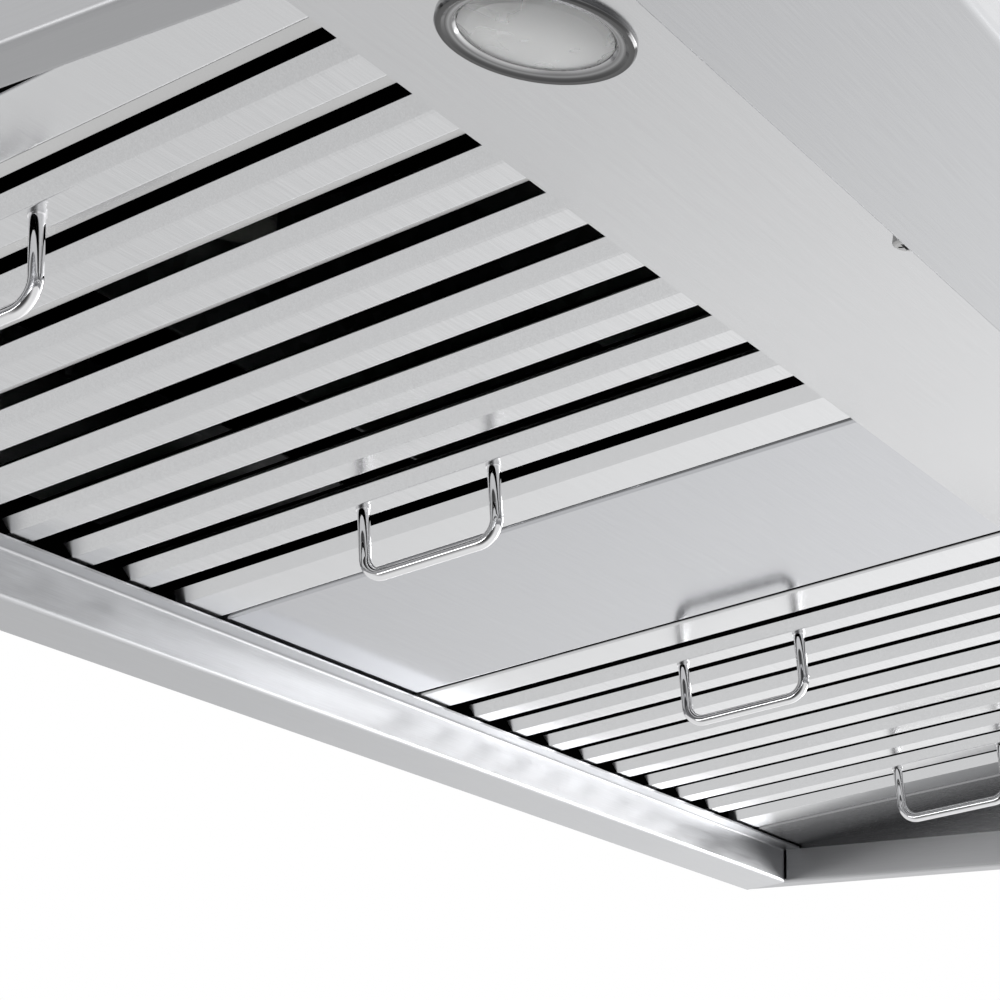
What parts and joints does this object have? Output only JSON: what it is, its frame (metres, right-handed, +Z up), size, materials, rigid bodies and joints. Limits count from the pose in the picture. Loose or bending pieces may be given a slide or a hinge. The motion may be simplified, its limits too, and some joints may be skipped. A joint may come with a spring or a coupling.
{
  "type": "range hood insert",
  "caption": "Stainless range hood insert with lift-out baffle filters, wire handles, lamps, push buttons, an enclosed centrifugal blower and a round duct collar with a damper.",
  "frame": {"origin": "centre of the bottom rim, in the plane of its lower face", "axes": "+X along the width, +Y towards the wall behind the hood, +Z up"},
  "size_m": [1.012, 0.547, 0.387],
  "materials": {
    "shell_steel": "fine linear brushing along the width",
    "baffle_steel": "fine linear brushing along the width, across the baffles",
    "dulled_steel": "dark and dull behind the slots",
    "handle_chrome": "polished wire",
    "bezel_chrome": "polished ring",
    "lamp_glass": "clear glass, lightly frosted",
    "reflector_aluminium": "satin",
    "lamp_housing_aluminium": "die cast",
    "galvanised_steel": "galvanised, faint spangle",
    "gasket_foam": "matte foam",
    "bush_rubber": "matte",
    "motor_paint": "satin black paint",
    "wheel_aluminium": "mill finish",
    "shaft_steel": "turned",
    "capacitor_plastic": "matte",
    "gland_plastic": "matte",
    "control_plastic": "matte",
    "board_plastic": "glossy lacquer",
    "button_steel": "satin",
    "screw_steel": "zinc plated"
  },
  "bodies": {
    "hood": {"front_shell": "shell_steel", "rear_shell": "shell_steel", "left_shell": "shell_steel", "right_shell": "shell_steel", "top_panels": "galvanised_steel", "lamp_panel": "shell_steel", "blank_panel": "shell_steel", "left_filler_panel": "shell_steel", "right_filler_panel": "shell_steel", "motor_box_front": "galvanised_steel", "motor_box_rear": "galvanised_steel", "motor_box_left": "galvanised_steel", "motor_box_right": "galvanised_steel", "motor_box_top": "galvanised_steel", "duct_collar": "galvanised_steel", "collar_gasket": "gasket_foam", "damper_pin": "shaft_steel", "scroll_wrap": "galvanised_steel", "scroll_motor_side": "galvanised_steel", "scroll_inlet_side": "galvanised_steel", "motor_housing": "motor_paint", "motor_end_bell": "motor_paint", "motor_bushes": "bush_rubber", "capacitor": "capacitor_plastic", "junction_box": "galvanised_steel", "junction_box_cover": "galvanised_steel", "cable_gland": "gland_plastic", "control_housing": "control_plastic", "control_board": "board_plastic", "left_lamp_bezel": "bezel_chrome", "left_lamp_lens": "lamp_glass", "left_lamp_reflector": "reflector_aluminium", "left_lamp_body": "lamp_housing_aluminium", "right_lamp_bezel": "bezel_chrome", "right_lamp_lens": "lamp_glass", "right_lamp_reflector": "reflector_aluminium", "right_lamp_body": "lamp_housing_aluminium", "lamp_panel_screws": "screw_steel", "sheet_screws": "screw_steel"},
    "left_filter": {"left_filter_frame": "baffle_steel", "left_filter_lower_baffles": "baffle_steel", "left_filter_upper_baffles": "dulled_steel", "left_filter_outer_handle": "handle_chrome", "left_filter_inner_handle": "handle_chrome"},
    "right_filter": {"right_filter_frame": "baffle_steel", "right_filter_lower_baffles": "baffle_steel", "right_filter_upper_baffles": "dulled_steel", "right_filter_outer_handle": "handle_chrome", "right_filter_inner_handle": "handle_chrome"},
    "impeller": {"motor_shaft": "shaft_steel", "impeller_back_plate": "wheel_aluminium", "impeller_blades": "wheel_aluminium", "impeller_ring": "wheel_aluminium"},
    "front_flap": {"damper_flap_front": "galvanised_steel"},
    "rear_flap": {"damper_flap_rear": "galvanised_steel"},
    "power_button": {"button_power": "button_steel"},
    "light_button": {"button_light": "button_steel"},
    "speed_down_button": {"button_speed_down": "button_steel"},
    "speed_up_button": {"button_speed_up": "button_steel"}
  },
  "joints": [
    {"name": "left_filter_tilt", "type": "hinge", "parent": "hood", "child": "left_filter", "pos_m": [0, 0.2358, 0.022], "axis": [-1, 0, 0], "range_deg": [0, 8]},
    {"name": "right_filter_tilt", "type": "hinge", "parent": "hood", "child": "right_filter", "pos_m": [0, 0.2358, 0.022], "axis": [-1, 0, 0], "range_deg": [0, 8]},
    {"name": "impeller_spin", "type": "hinge", "parent": "hood", "child": "impeller", "pos_m": [0, -0.022, 0.216], "axis": [1, 0, 0], "continuous": true},
    {"name": "front_flap_swing", "type": "hinge", "parent": "hood", "child": "front_flap", "pos_m": [0, 0.04, 0.355], "axis": [-1, 0, 0], "range_deg": [0, 75]},
    {"name": "rear_flap_swing", "type": "hinge", "parent": "hood", "child": "rear_flap", "pos_m": [0, 0.04, 0.355], "axis": [1, 0, 0], "range_deg": [0, 75]},
    {"name": "power_press", "type": "slide", "parent": "hood", "child": "power_button", "axis": [0, -0.1668, 0.986], "range_m": [0, 0.0015], "stiffness_N_per_m": 400, "springref_m": -0.001},
    {"name": "light_press", "type": "slide", "parent": "hood", "child": "light_button", "axis": [0, -0.1668, 0.986], "range_m": [0, 0.0015], "stiffness_N_per_m": 400, "springref_m": -0.001},
    {"name": "speed_down_press", "type": "slide", "parent": "hood", "child": "speed_down_button", "axis": [0, -0.1668, 0.986], "range_m": [0, 0.0015], "stiffness_N_per_m": 400, "springref_m": -0.001},
    {"name": "speed_up_press", "type": "slide", "parent": "hood", "child": "speed_up_button", "axis": [0, -0.1668, 0.986], "range_m": [0, 0.0015], "stiffness_N_per_m": 400, "springref_m": -0.001}
  ]
}
